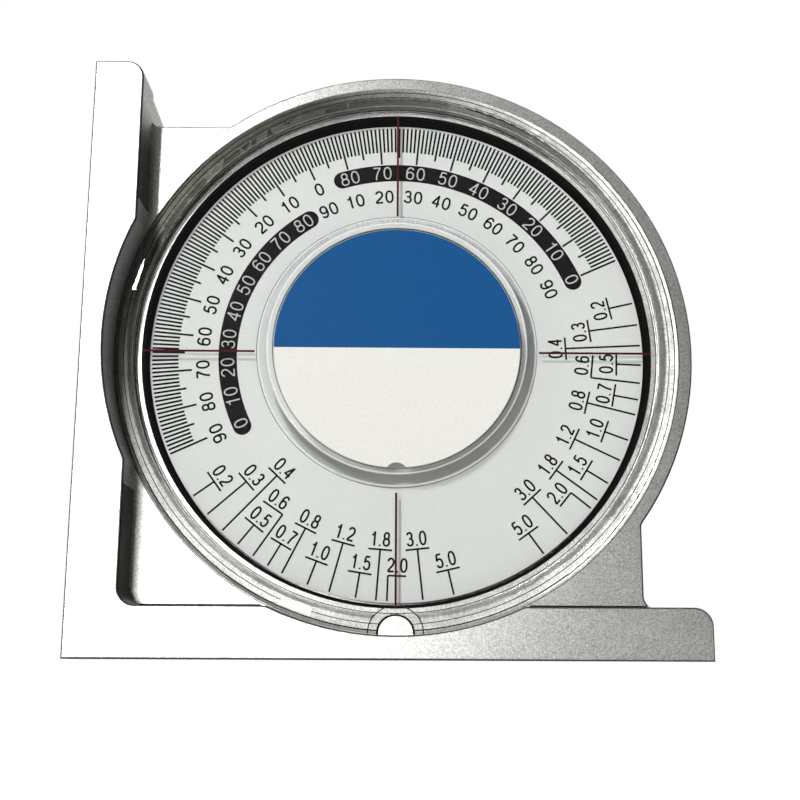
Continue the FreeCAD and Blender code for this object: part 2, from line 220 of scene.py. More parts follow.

# %% [markdown]
# ## Painted shade on the casting
#
# The clear rim of the lens magnifies the seat that it lies on, so small things there show:
# painted shade over the seat at the upper left, and thin painted dark lines on the seat and
# around the half-round key. Thin painted dark lines also stand for the shade in the broken
# edges of the bars, at the foot of the web and around web and ring. Each mark lies where its
# distance from the pivot, its depth behind the front and its height say, so the sizes come first.

# %% Measure the marks
seat_depth = 7.1 * mm
seat_margin = 0.3 * mm
front_faces = 7.3 * mm
ledge_inner = 45.1 * mm
seat_inner = 46.2 * mm
seat_outer = 49.75 * mm
seat_rings = (45.9 * mm, 47.8 * mm, 48.7 * mm)
ring_width = 0.14 * mm
shade_line_width = 0.4 * mm
key_r = 2.9 * mm
notch_r = 4.8 * mm
key_middle = pivot - Vector((0, 0, 49.3 * mm))
# the painted shade on the seat is full near this point and gone far from it
seat_shade_point = pivot + Vector((-40 * mm, 0, 26 * mm))
seat_shade_full = 32 * mm
seat_shade_gone = 76 * mm
print("width of the seat in mm:", round((seat_outer - seat_inner) / mm, 2))

# %% [markdown]
# A mark is a share from 0 to 1. The share of a ring is 1 where the distance lies between its
# two limits. One function finds the distances, another one takes a list of rings.

# %% Find places and rings
def find_place(tree, place):
    """Where a point lies: its x, y and z, the point without its depth, and its radius."""
    parts = add(tree, "SeparateXYZ", vector=place)
    at = SimpleNamespace(aside=parts.outputs["X"], depth=parts.outputs["Y"], height=parts.outputs["Z"])
    at.flat = add(tree, "CombineXYZ", x=at.aside, z=at.height)
    at.radius = add(tree, "VectorMath", DISTANCE, i0=at.flat, i1=(pivot.x, 0, pivot.z))
    return at


def rings(tree, limits):
    """1 in any of the rings, each given by its distance and its inner and outer limit."""
    found = 0.0
    for distance, inner, outer in limits:
        ring = add(tree, "Math", NEAR, i0=distance, **between(inner, outer))
        found = add(tree, "Math", EITHER, i0=found, i1=ring)
    return found


print("the radius is measured from x, z in mm:", round(pivot.x / mm, 2), round(pivot.z / mm, 2))

# %% [markdown]
# The painted shade on the seat fades with the distance from one point, so it is a plain map
# from distance to share. The painted dark lines are a list of rings around the key and around
# the pivot.

# %% Mark the seat of the lens
def old_glue(tree, place, seat):
    """Painted shade on the seat: full near one point and gone far from it."""
    way = add(tree, "VectorMath", DISTANCE, i0=place, i1=tuple(seat_shade_point))
    fading = add(tree, "MapRange", value=way, from_min=seat_shade_full, from_max=seat_shade_gone,
                 to_min=1.0, to_max=0.0)
    return add(tree, "Math", BOTH, i0=seat, i1=fading)


def seat_dirt(tree, at, sunk):
    """Painted shade: thin dark lines around the key and its notch, on the seat and at its edge."""
    from_key = add(tree, "VectorMath", DISTANCE, i0=at.flat, i1=(key_middle.x, 0, key_middle.z))
    limits = [(from_key, key_r, key_r + shade_line_width), (from_key, notch_r - shade_line_width / 2, notch_r),
              (at.radius, seat_outer - ring_width, seat_outer)]
    limits += [(at.radius, ring - ring_width / 2, ring + ring_width / 2) for ring in seat_rings]
    return add(tree, "Math", BOTH, i0=rings(tree, limits), i1=sunk)


print("dark rings on the seat:", len(seat_rings))

# %% [markdown]
# A broken edge is a small slope between two faces, and its shade is painted on it as a dark
# line. It is found by its depth: the edges of the bars lie just behind the front plane, and
# the outline of web and ring lies just behind the front of the web. The painted dark line at
# the web's foot lies on the web.

# %% Mark the edges
edge_start = 0.04 * mm
edge_depth = 0.4 * mm
edge_share = 0.85
web_front = front_plane + 7.2 * mm
web_ahead = 0.2 * mm
web_behind = 0.03 * mm
web_foot = 9.12 * mm
web_left = pivot.x - 43.8 * mm
relief_outer = 50.0 * mm
crescent_outer = 51.5 * mm


def edge_dirt(tree, at):
    """Painted shade: dark lines in the bars' edges, at the web's foot and around web and ring."""
    bars = add(tree, "Math", NEAR, i0=at.depth,
               **between(front_plane + edge_start, front_plane + edge_depth))
    on_web = add(tree, "Math", NEAR, i0=at.depth,
                 **between(web_front - web_ahead, web_front + web_behind))
    low = add(tree, "Math", NEAR, i0=at.height, **between(web_foot - shade_line_width, web_foot))
    foot = add(tree, "Math", BOTH, i0=low, i1=on_web)
    around_web = add(tree, "Math", NEAR, i0=at.depth,
                     **between(web_front + edge_start, web_front + edge_depth))
    above = add(tree, "Math", OVER, i0=at.height, i1=web_foot)
    outline = add(tree, "Math", BOTH, i0=above, i1=around_web)
    past_relief = add(tree, "Math", OVER, i0=at.radius, i1=relief_outer)
    past_crescent = add(tree, "Math", OVER, i0=at.radius, i1=crescent_outer)
    lines = add(tree, "Math", EITHER, i0=add(tree, "Math", BOTH, i0=foot, i1=past_relief),
                i1=add(tree, "Math", BOTH, i0=outline, i1=past_crescent))
    right_of_bar = add(tree, "Math", OVER, i0=at.aside, i1=web_left)
    web = add(tree, "Math", BOTH, i0=right_of_bar, i1=lines)
    return add(tree, "Math", EITHER, i0=add(tree, "Math", BOTH, i0=bars, i1=edge_share), i1=web)


print("foot of the web above the floor in mm:", round(web_foot / mm, 2))

# %% [markdown]
# The inner wall of the side bar gets a painted shade, darker below than near its top. It is
# found by the way it faces, which is right, and by its height.

# %% Mark the painted shade on the wall
wall_unshaded = pivot.z + 44 * mm
wall_shaded = pivot.z + 36 * mm
right_starts, right_full = 0.6, 0.9


def dull_wall(tree, at, facing):
    """Share of painted shade on the walls in front that face right, below their upper part."""
    turned = add(tree, "MapRange", value=facing.outputs["X"], from_min=right_starts, from_max=right_full)
    low = add(tree, "MapRange", value=at.height, from_min=wall_unshaded, from_max=wall_shaded)
    past_crescent = add(tree, "Math", OVER, i0=at.radius, i1=crescent_outer)
    front = add(tree, "Math", NEAR, i0=at.depth, **between(front_plane, front_plane + front_faces))
    return add(tree, "Math", BOTH, i0=add(tree, "Math", BOTH, i0=turned, i1=low),
               i1=add(tree, "Math", BOTH, i0=past_crescent, i1=front))


# below this height the wall's painted shade is full
print("the wall is dull below a height in mm:", round(wall_shaded / mm, 1))

# %% [markdown]
# The seat is slightly dished, and the rim of the lens turns that slope into the bright and
# dark bands of the picture. It is only half a millimetre deep, so it is a slope of the
# shading, in a bump whose height is the real one. It is less on the left than on the right.

# %% Dish the seat
seat_drop = 0.54 * mm
ledge_drop = 0.08 * mm
lean_from = pivot.x - 35 * mm
lean_to = pivot.x + 15 * mm
lean_least = 0.15


def seat_slope(tree, at, sunk):
    """Height of the dished seat and of the ledge inside it, in metres."""
    ledge = add(tree, "MapRange", value=at.radius, from_min=ledge_inner, from_max=seat_inner,
                to_min=-ledge_drop, to_max=0.0)
    dish = add(tree, "MapRange", value=at.radius, from_min=seat_inner, from_max=seat_outer,
               to_min=-seat_drop, to_max=0.0)
    lean = add(tree, "MapRange", value=at.aside, from_min=lean_from, from_max=lean_to,
               to_min=lean_least, to_max=1.0)
    leaning = add(tree, "Math", BOTH, i0=add(tree, "Math", SUM, i0=ledge, i1=dish), i1=lean)
    return add(tree, "Math", BOTH, i0=leaning, i1=sunk)


print("dish of the seat in mm:", round(seat_drop / mm, 2))

# %% [markdown]
# Now the metal is put together: the clean skin, then each painted shade as a tint over it,
# and the bumps from the widest to the finest. Walls that run back from the front scrape along
# the die as the casting leaves it, so they are rougher than the faces.

# %% Make the cast metal
pit_size = 0.3
pit_depth = 0.05 * mm
grain_depth = 0.03 * mm
face_roughness = (0.28, 0.37)
wall_roughness = 0.25
wall_starts, wall_full = 0.6, 0.2


def cast_aluminium():
    """Bare cast metal: a sparkling skin under painted shade on the seat, the wall and the edges."""
    material, tree, place = new_material("die_cast_aluminium")
    colour, skin, sparkle = cast_skin(tree, place)
    at = find_place(tree, place)
    facing = add(tree, "SeparateXYZ", vector=add(tree, "NewGeometry").outputs["True Normal"])
    sunk = add(tree, "Math", NEAR, i0=at.depth,
               **between(front_plane + seat_depth, window_back + seat_margin))
    on_seat = add(tree, "Math", NEAR, i0=at.radius, **between(seat_inner, seat_outer))
    seat = add(tree, "Math", BOTH, i0=on_seat, i1=sunk)
    painted_shade_lines = add(tree, "Math", EITHER, i0=edge_dirt(tree, at), i1=seat_dirt(tree, at, sunk))
    # the three tints are painted shade: on the seat, on the inner wall, and as thin dark lines
    for share, shade in ((old_glue(tree, place, seat), "#5e5d58"),
                         (dull_wall(tree, at, facing), "#7d7d79"), (painted_shade_lines, "#2e2d2a")):
        colour = add(tree, "Mix", TINT, factor=share, a=colour, b=linear(shade))

    slope = add(tree, "Bump", height=seat_slope(tree, at, sunk), distance=1.0)
    pits = add(tree, "TexNoise", vector=place, scale=per_mm(pit_size), detail=2.0, roughness=0.5)
    coarse = add(tree, "Bump", height=add(tree, "Math", BOTH, i0=pits, i1=seat), distance=pit_depth,
                 strength=0.5, normal=slope)
    grain = add(tree, "Bump", height=add(tree, "Math", SUM, i0=skin, i1=sparkle), distance=grain_depth,
                strength=0.5, normal=coarse)
    matte = add(tree, "MapRange", value=skin, from_min=NOISE_LOW, from_max=NOISE_HIGH,
                to_min=face_roughness[0], to_max=face_roughness[1])
    forward = add(tree, "Math", UNSIGNED, i0=facing.outputs["Y"])
    steep = add(tree, "MapRange", value=forward, from_min=wall_full, from_max=wall_starts,
                to_min=wall_roughness, to_max=0.0)
    surface = add(tree, "BsdfPrincipled", base_color=colour, metallic=1.0, normal=grain,
                  roughness=add(tree, "Math", SUM, i0=matte, i1=steep))
    add(tree, "OutputMaterial", surface=surface)
    return material


print("pits of the seat across in mm:", pit_size)

# %% [markdown]
# ## Clear moulded plastic
#
# The lens is one moulding of acrylic, with an index of refraction of 1.49. The look of its rim
# is nothing but refraction of the metal under it, so the solid itself does the work. Light
# hardly finds its way through refracting glass in a path tracer, so shadow rays and diffuse
# rays pass straight through. On the boss, thin painted dark lines stand for shade at its foot
# and around the label, and two thin lines are painted highlights, where less of the light
# goes through, so that they look pale.

# %% Measure the boss of the lens
label_edge = 21.6 * mm
boss_lip = 22.5 * mm
boss_foot = 24.6 * mm
boss_shade_line = 0.08 * mm
line_half = 0.1 * mm
highlight_near = 0.2 * mm
highlight_far = 0.45 * mm
highlight_clearness = 0.55
print("the boss stands on a circle of radius in mm:", round(boss_foot / mm, 2))

# %% [markdown]
# Everything on the boss is a ring around the pivot, so the function for rings serves again.
# Only what lies in front of the casting's faces is marked, so the inside stays clean.

# %% Make the clear plastic
def clear_acrylic():
    """Clear plastic, with painted dark lines for shade and painted highlight lines on the boss's front."""
    material, tree, place = new_material("clear_acrylic")
    tint = add(tree, "TexNoise", vector=place, scale=per_mm(6.0), detail=2.0, roughness=0.5)
    clean = add(tree, "ValToRGB", stops=tones("#fbfcfb", "#fdfefd"), fac=tint)
    at = find_place(tree, place)
    front = add(tree, "Math", UNDER, i0=at.depth, i1=front_plane + front_faces)
    # painted shade: thin dark lines at the boss's foot and around the label
    painted_shade_lines = rings(tree, [(at.radius, boss_foot - boss_shade_line, boss_foot + boss_shade_line),
                        (at.radius, label_edge - line_half, label_edge + line_half)])
    colour = add(tree, "Mix", BLEND, factor=add(tree, "Math", BOTH, i0=painted_shade_lines, i1=front), a=clean,
                 b=linear("#6e6e69"))
    # painted highlights: two thin lines let less light through, so they look pale
    painted_highlight_rings = rings(tree, [(at.radius, boss_lip - line_half, boss_lip + line_half),
                        (at.radius, boss_foot - highlight_far, boss_foot - highlight_near)])
    clear = add(tree, "MapRange", value=add(tree, "Math", BOTH, i0=painted_highlight_rings, i1=front),
                to_min=1.0, to_max=highlight_clearness)
    refracting = add(tree, "BsdfPrincipled", base_color=colour, roughness=0.0, ior=1.49,
                     transmission_weight=clear)
    straight = add(tree, "BsdfTransparent", color=linear("#fafafa"))
    rays = add(tree, "LightPath")
    soft = add(tree, "Math", EITHER, i0=rays.outputs["Is Shadow Ray"], i1=rays.outputs["Is Diffuse Ray"])
    add(tree, "OutputMaterial", surface=add(tree, "MixShader", i0=soft, i1=refracting, i2=straight))
    return material


# the painted highlight line on the lip
print("scuffed line on the lip at a radius in mm:", round(boss_lip / mm, 2))

# %% [markdown]
# ## Printed films
#
# The dial and the label are printed polyester films. A film has an even colour with a very
# slight mottle from the ink, and a soft satin gloss. The mottle is half a millimetre wide,
# coarser than a real one, which would not show. The label is blue above its middle and white
# below, and the border is a plain comparison with the height of the pivot.

# %% Make the films and the inks
label_border = pivot.z - 0.3 * mm


def film(name, dark, light, roughness=0.5, gloss=0.2):
    """Printed film or ink of one colour."""
    material, tree, place = new_material(name)
    mottle = add(tree, "TexNoise", vector=place, scale=per_mm(0.5), detail=3.0, roughness=0.5)
    colour = add(tree, "ValToRGB", stops=tones(dark, light), fac=mottle)
    surface = add(tree, "BsdfPrincipled", base_color=colour, roughness=roughness, specular_ior_level=gloss,
                  normal=add(tree, "Bump", height=mottle, distance=0.01 * mm, strength=0.3))
    add(tree, "OutputMaterial", surface=surface)
    return material


def label_film():
    """Film in two colours with a level border."""
    material, tree, place = new_material("label_film")
    mottle = add(tree, "TexNoise", vector=place, scale=per_mm(0.45), detail=3.0, roughness=0.5)
    height = add(tree, "SeparateXYZ", vector=place).outputs["Z"]
    upper = add(tree, "Math", OVER, i0=height, i1=label_border)
    colour = add(tree, "Mix", BLEND, factor=upper,
                 a=add(tree, "ValToRGB", stops=tones("#d9d8d2", "#e1e0da"), fac=mottle),
                 b=add(tree, "ValToRGB", stops=tones("#144c80", "#185188"), fac=mottle))
    surface = add(tree, "BsdfPrincipled", base_color=colour, roughness=0.5, specular_ior_level=0.05,
                  normal=add(tree, "Bump", height=mottle, distance=0.01 * mm, strength=0.3))
    add(tree, "OutputMaterial", surface=surface)
    return material


ink_black = film("black_ink", "#070707", "#0c0c0b", 0.6, 0.05)
ink_white = film("white_ink", "#dcddda", "#e6e7e4", 0.6, 0.05)
ink_red = film("dark_red_ink", "#3c0a18", "#4a1020", 0.6, 0.05)
print("inks:", ink_black.name, ink_white.name, ink_red.name)

# %% [markdown]
# ## Plain finishes of the inner and rear pieces
#
# Ground steel and rolled sheet show straight lines along the stroke that made them. Turned
# brass and steel are small pieces here, whose fine marks are drawn out along their axis.
# Both are noise that is stretched along one direction, a quarter of a millimetre wide, which
# is coarser than real tool marks, so that they show. Ferrite is a dull dark ceramic, white
# ABS has a soft gloss, and black paint is quite matte.

# %% Make the metals and plastics
roughness_swing = 0.08


def metal(name, dark, light, roughness, stretch):
    """Metal whose tool marks run along the direction that is stretched."""
    material, tree, place = new_material(name)
    along = add(tree, "Mapping", vector=place, scale=stretch)
    marks = add(tree, "TexNoise", vector=along, scale=per_mm(0.25), detail=3.0, roughness=0.6)
    worked = add(tree, "MapRange", value=marks, from_min=NOISE_LOW, from_max=NOISE_HIGH,
                 to_min=roughness - roughness_swing, to_max=roughness + roughness_swing)
    colour = add(tree, "ValToRGB", stops=tones(dark, light), fac=marks)
    surface = add(tree, "BsdfPrincipled", base_color=colour, metallic=1.0, roughness=worked,
                  normal=add(tree, "Bump", height=marks, distance=0.01 * mm, strength=0.4))
    add(tree, "OutputMaterial", surface=surface)
    return material


def moulded_plastic(name, dark, light, roughness, grain=0.6, gloss=0.5):
    """Plastic, paint or ceramic with the fine texture of its mould or press."""
    material, tree, place = new_material(name)
    texture = add(tree, "TexNoise", vector=place, scale=per_mm(grain), detail=3.0, roughness=0.5)
    colour = add(tree, "ValToRGB", stops=tones(dark, light), fac=texture)
    surface = add(tree, "BsdfPrincipled", base_color=colour, roughness=roughness, specular_ior_level=gloss,
                  normal=add(tree, "Bump", height=texture, distance=0.02 * mm, strength=0.4))
    add(tree, "OutputMaterial", surface=surface)
    return material


print("roughness of a metal swings by:", roughness_swing)

# %% [markdown]
# Every solid gets its finish by its name. The stretch of a metal's marks is a small number
# for the direction along which they run. Pieces of the same metal share one material.

# %% Give every solid its finish
finishes = {
    "body_casting": cast_aluminium(),
    "base_magnets": moulded_plastic("sintered_ferrite", "#2a2a2c", "#38383a", 0.55, 0.3),
    "base_pole_plates": metal("ground_steel_base", "#9a9b9d", "#b0b1b3", 0.32, (0.05, 1, 1)),
    "side_pole_plates": metal("ground_steel_side", "#9a9b9d", "#b0b1b3", 0.32, (1, 1, 0.05)),
    "lens": clear_acrylic(),
    "label_disc": label_film(),
    "bearing_carrier": moulded_plastic("white_abs", "#dcdcd8", "#e6e6e2", 0.45),
    "front_bearing": metal("turned_brass", "#b8924a", "#cfa95e", 0.3, (1, 0.1, 1)),
    "rear_bearing_screw": metal("turned_steel", "#8e8f91", "#a8a9ab", 0.3, (1, 0.1, 1)),
    "dial_surround": moulded_plastic("black_paint", "#080808", "#0e0e0d", 0.7, 0.3, 0.0),
    "dial_face": film("dial_film", "#d9dbd8", "#e0e2df"),
    "dial_plate": metal("rolled_aluminium", "#a9abad", "#bcbec0", 0.35, (0.08, 1, 1)),
    "counterweight": metal("blanked_steel", "#6f7072", "#828385", 0.42, (1, 1, 0.1)),
}
shared = {"side_magnets": "base_magnets", "rear_bearing": "front_bearing", "dial_hub": "front_bearing",
          "hub_nut": "front_bearing", "lock_nut": "rear_bearing_screw", "pivot_shaft": "rear_bearing_screw",
          "hub_washer": "rear_bearing_screw", "counterweight_rivets": "dial_plate"}
finishes |= {name: finishes[twin] for name, twin in shared.items()}
for name, material in finishes.items():
    node = nodes[name]
    node.data.materials.clear()
    node.data.materials.append(material)
print("solids with a finish:", len(finishes), "of", len(nodes))

# %% [markdown]
# ## A drawing board for the prints
#
# Every print is drawn flat on a board in millimetres, with the pivot at its origin, x to the
# right and y up, as a print shop would. One matrix then stands the board up in front of
# its face. The dial's board also turns, because the dial does not hang level in the picture.
# Ink has hardly any thickness, but a thin real body keeps it from flickering with its face.

# %% Set up the boards
dial_turn = math.radians(24.6)
dial_print_scale = 0.994
ink_thickness = 0.03


def board(face, turn=0.0, scale=1.0):
    """Matrix from a flat drawing in mm to the front of a face at the given depth."""
    return (Matrix.Translation((pivot.x, face, pivot.z)) @ Matrix.Rotation(math.radians(90), 4, "X")
            @ Matrix.Rotation(turn, 4, "Z") @ Matrix.Scale(scale * mm, 4))


def around(angle, radius):
    """Place on the dial: the angle is in degrees, clockwise from the dial's up."""
    return Matrix.Rotation(math.radians(-angle), 4, "Z") @ Matrix.Translation((0, radius, 0))


dial_board = board(dial_front, dial_turn, dial_print_scale)
print("the dial is printed turned by degrees:", round(math.degrees(dial_turn), 1))

# %% [markdown]
# Two things are done for every print. A bar is a thin block under a matrix, and a finished
# drawing becomes a piece: it is put in its place, given its ink, and told which body it
# moves with.

# %% Define the bar and the piece
def add_bar(drawing, place, width, height):
    """Printed rectangle, centred on its place."""
    size = Matrix.Diagonal((width, height, ink_thickness, 1))
    rise = Matrix.Translation((0, 0, ink_thickness / 2))
    bmesh.ops.create_cube(drawing, size=1, matrix=place @ rise @ size)


def make_piece(name, drawing, matrix, material, body):
    """Turn a drawing into a piece that stands in its place and moves with its body."""
    bmesh.ops.transform(drawing, matrix=matrix, verts=drawing.verts)
    bmesh.ops.recalc_face_normals(drawing, faces=drawing.faces)
    mesh = bpy.data.meshes.new(name)
    drawing.to_mesh(mesh)
    drawing.free()
    mesh.materials.append(material)
    piece = bpy.data.objects.new(name, mesh)
    bpy.context.scene.collection.objects.link(piece)
    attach(piece, body)
    print(name, "has", len(mesh.polygons), "faces")


print("thickness of the ink in mm:", ink_thickness)

# %% [markdown]
# ## The degree scale
#
# Half of the dial carries 180 degrees of fine ticks. Each tick starts just inside the edge of
# the dial, and every fifth and tenth one reaches further in. A loop draws them, so the
# lengths are three named sizes and nothing else.

# %% Draw the ticks
tick_start = dial_r / mm - 0.1
tick_ends = {1: 39.25, 5: 38.15, 10: 36.9}
tick_width = 0.36
ticks = bmesh.new()
for degree in range(-90, 91):
    step = 10 if degree % 10 == 0 else 5 if degree % 5 == 0 else 1
    length = tick_start - tick_ends[step]
    add_bar(ticks, around(degree, tick_start - length / 2), tick_width, length)
make_piece("degree_ticks", ticks, dial_board, ink_black, "dial")

# %% [markdown]
# ## The black bands
#
# A row of white numbers lies in a black band with round ends. The band is a radial edge
# that is spun along its arc, and each end is half an edge spun by 180 degrees about the end's
# middle. Extruding the flat shape gives the ink its thickness.

# %% Draw the bands
outer_row = 35.1
inner_row = 30.45
end_steps = 16


def add_band(drawing, radius, half_width, start, end):
    """Band with round ends between two angles, which are the centres of the ends."""
    flat = bmesh.new()
    inner, middle, outer = [flat.verts.new(around(start, radius + offset).to_translation())
                            for offset in (-half_width, 0, half_width)]
    edges = [flat.edges.new((inner, middle)), flat.edges.new((middle, outer))]
    far = around(end, radius).to_translation()
    bmesh.ops.spin(flat, geom=[inner, middle, outer] + edges, cent=(0, 0, 0), axis=(0, 0, 1),
                   angle=math.radians(start - end), steps=int(abs(end - start)))
    for centre, angle, way in ((middle.co.copy(), start, 1), (far, end, -1)):
        tip = flat.verts.new(around(angle, radius + half_width).to_translation())
        core = flat.verts.new(centre)
        bmesh.ops.spin(flat, geom=[tip, core, flat.edges.new((core, tip))], cent=centre,
                       axis=(0, 0, 1), angle=math.radians(180 * way), steps=end_steps)
    bmesh.ops.remove_doubles(flat, verts=flat.verts, dist=0.001)
    walls = bmesh.ops.extrude_face_region(flat, geom=flat.faces[:])
    lifted = [v for v in walls["geom"] if isinstance(v, bmesh.types.BMVert)]
    bmesh.ops.translate(flat, verts=lifted, vec=(0, 0, ink_thickness))
    mesh = bpy.data.meshes.new("band")
    flat.to_mesh(mesh)
    flat.free()
    drawing.from_mesh(mesh)
    bpy.data.meshes.remove(mesh)


bands = bmesh.new()
add_band(bands, outer_row, half_width=1.6, start=7.6, end=90.7)
add_band(bands, inner_row, half_width=1.65, start=-91.0, end=-7.5)
make_piece("scale_bands", bands, dial_board, ink_black, "dial")

# %% [markdown]
# ## The numbers
#
# The dial is lettered in a plain grotesque, whose strokes all have one width. So each digit
# is given as the path of a pen: bends along an ellipse with slightly square shoulders, and
# straight runs. A curve with a round section follows the path, is made a mesh and pressed
# flat, so the same digits serve for the heavy black numbers and the fine white ones.

# %% Define the strokes of the digits
SHOULDER = 0.88
END = 0.06
BEND_STEP = 12


def pen_bend(middle, reach, start, end):
    """Points along a slightly square ellipse, between two angles in degrees."""
    count = max(2, int(abs(end - start) / BEND_STEP))
    points = []
    for i in range(count + 1):
        angle = math.radians(start + (end - start) * i / count)
        x, y = math.cos(angle), math.sin(angle)
        points.append((middle[0] + reach[0] * math.copysign(abs(x) ** SHOULDER, x),
                       middle[1] + reach[1] * math.copysign(abs(y) ** SHOULDER, y)))
    return points


six = [pen_bend((0.286, 0.3), (0.27, 0.3), 0, 360),
       pen_bend((0.3, 0.5), (0.29, 0.5), 190, 38)]
digit_strokes = {
    "0": [pen_bend((0.286, 0.5), (0.28, 0.5), 0, 360)],
    "1": [[(0.38, -END), (0.38, 1 + END)],
          [(0.37, 0.99), (0.33, 0.87), (0.26, 0.8), (0.1, 0.78)]],
    "2": [pen_bend((0.285, 0.72), (0.265, 0.28), 172, -25)
          + [(0.4, 0.42), (0.17, 0.22), (0.06, 0.1), (0.03, 0.0)],
          [(-END / 2, 0.0), (0.58, 0.0)]],
    "3": [pen_bend((0.27, 0.755), (0.225, 0.245), 165, -80),
          pen_bend((0.28, 0.265), (0.27, 0.265), 85, -168),
          [(0.2, 0.52), (0.3, 0.52)]],
    "4": [[(0.43, -END), (0.43, 1 + END)], [(-END, 0.27), (0.6, 0.27)], [(0.0, 0.27), (0.42, 1.0)]],
    "5": [[(0.1, 1.0), (0.52, 1.0)], [(0.12, 1.0), (0.05, 0.49)],
          pen_bend((0.285, 0.32), (0.275, 0.32), 145, -162)],
    "6": six,
    "7": [[(0.0, 1.0), (0.58, 1.0)], [(0.57, 1.0), (0.4, 0.7), (0.26, 0.36), (0.2, -END)]],
    "8": [pen_bend((0.286, 0.755), (0.225, 0.245), 0, 360),
          pen_bend((0.286, 0.265), (0.275, 0.265), 0, 360)],
    "9": [[(0.572 - x, 1 - y) for x, y in stroke] for stroke in six],
    ".": [[(0.05, -END), (0.05, END)]],
}
digit_advance = 0.88
dot_advance = 0.4
print("digits drawn with a pen:", "".join(sorted(digit_strokes)))

# %% [markdown]
# Each number is centred on its own outline, brought to its real height in millimetres and put
# in its place on the board. Plain numbers stand black on the film, and those in the bands are
# white. The slope numbers are a narrower cut of the same type.

# %% Write the numbers
number_height = 2.5
black_pen = 0.17
white_pen = 0.12
plain_row = outer_row - 0.2


def add_number(drawing, words, place, height, pen, stretch=1.0, level=0.0):
    """Number in plain type of the given height, centred on its place."""
    curve = bpy.data.curves.new("number", "CURVE")
    curve.dimensions = "2D"
    curve.fill_mode = "NONE"
    curve.bevel_depth = pen / 2
    curve.bevel_resolution = 0
    curve.use_fill_caps = True
    aside = 0.0
    for letter in words:
        for stroke in digit_strokes[letter]:
            spline = curve.splines.new("POLY")
            spline.points.add(len(stroke) - 1)
            for point, (x, y) in zip(spline.points, stroke):
                point.co = ((aside + x) * stretch, y, 0, 1)
        aside += dot_advance if letter == "." else digit_advance
    text = bpy.data.objects.new("number", curve)
    mesh = bpy.data.meshes.new_from_object(text)
    corners = [Vector(v.co) for v in mesh.vertices]
    low = Vector([min(c[i] for c in corners) for i in range(3)])
    high = Vector([max(c[i] for c in corners) for i in range(3)])
    scale = height / (high.y - low.y)
    middle = (low + high) / 2
    size = Matrix.Diagonal((scale, scale, ink_thickness / (high.z - low.z), 1))
    rise = Matrix.Translation((0, 0, level + ink_thickness / 2))
    mesh.transform(place @ rise @ size @ Matrix.Translation(-middle))
    drawing.from_mesh(mesh)
    bpy.data.meshes.remove(mesh)
    bpy.data.objects.remove(text)
    bpy.data.curves.remove(curve)


black_numbers = bmesh.new()
white_numbers = bmesh.new()
for tens in range(0, 100, 10):
    add_number(black_numbers, str(tens), around(-tens, plain_row), number_height, black_pen)
    add_number(black_numbers, str(tens or 90), around(tens, inner_row), number_height, black_pen)
for tens in range(0, 90, 10):
    for angle, row in ((90 - tens, outer_row), (tens - 90, inner_row)):
        add_number(white_numbers, str(tens), around(angle, row), number_height, white_pen,
                   level=ink_thickness)
make_piece("white_numbers", white_numbers, dial_board, ink_white, "dial")

# %% [markdown]
# ## The slope scale
#
# The lower half of the dial shows the slope as a ratio. A ratio of 1.0 stands at 45 degrees
# below level, so each mark stands where the arc tangent says. The marks are crowded, and the
# draughtsman staggered them on three circles. Two bars hang from one end, to make room.

# %% Draw the slope scale
outer_bar = 39.6
middle_bar = 35.15
inner_bar = 30.5
bar_length = 4.2
line_width = 0.33
slopes = {0.2: outer_bar, 0.3: middle_bar, 0.4: inner_bar, 0.5: outer_bar, 0.6: middle_bar,
          0.7: outer_bar, 0.8: middle_bar, 1.0: outer_bar, 1.2: middle_bar, 1.5: outer_bar,
          1.8: middle_bar, 2.0: outer_bar, 3.0: middle_bar, 5.0: outer_bar}
end_bars = {0.6: (-2.1, bar_length), 2.0: (1.6, 3.2)}
number_drop = 1.85
slope_number_height = 2.6
slope_pen = 0.155
slope_stretch = 0.78
slope_lines = bmesh.new()
for slope, bar_r in slopes.items():
    angle = 90 + math.degrees(math.atan(slope))
    for side in (-1, 1):
        aside, length = end_bars.get(slope, (0, bar_length))
        along = around(side * angle, (tick_start + bar_r) / 2)
        add_bar(slope_lines, along, line_width, tick_start - bar_r)
        bar = around(side * angle, bar_r) @ Matrix.Translation((side * aside, 0, 0))
        add_bar(slope_lines, bar, length, line_width)
        under = bar @ Matrix.Translation((0, -number_drop, 0)) @ Matrix.Rotation(math.pi, 4, "Z")
        add_number(black_numbers, format(slope, ".1f"), under, slope_number_height, slope_pen, slope_stretch)
make_piece("slope_lines", slope_lines, dial_board, ink_black, "dial")
make_piece("black_numbers", black_numbers, dial_board, ink_black, "dial")

# %% [markdown]
# ## The cross hair
#
# Four dark red lines are printed on the back of the clear window, from the boss to the edge.
# They stay level with the body, so the eye reads the dial against them, and being a couple
# of millimetres in front of the dial they throw a soft shadow on it.

# %% Draw the cross hair
hair_width = 0.38
hair_inner = 25.2
hair_outer = 45.0
hair_middle = (hair_inner + hair_outer) / 2
hair_depth = 1.2 * ink_thickness * mm  # its own thickness, and a little air to the window
hair = bmesh.new()
for quarter in range(4):
    place = Matrix.Rotation(math.radians(90 * quarter), 4, "Z") @ Matrix.Translation((0, hair_middle, 0))
    add_bar(hair, place, hair_width, hair_outer - hair_inner)
make_piece("cross_hair", hair, board(window_back + hair_depth), ink_red, "housing")

# %% [markdown]
# ## The floor
#
# The instrument stands on a plain floor of white paper. The paper takes the object's shadow,
# and a faint glow that only the camera sees brings it up to the white of the background.

# %% Lay the floor
floor_size = 2.0
floor_drop = 0.05 * mm
camera_glow = 0.45


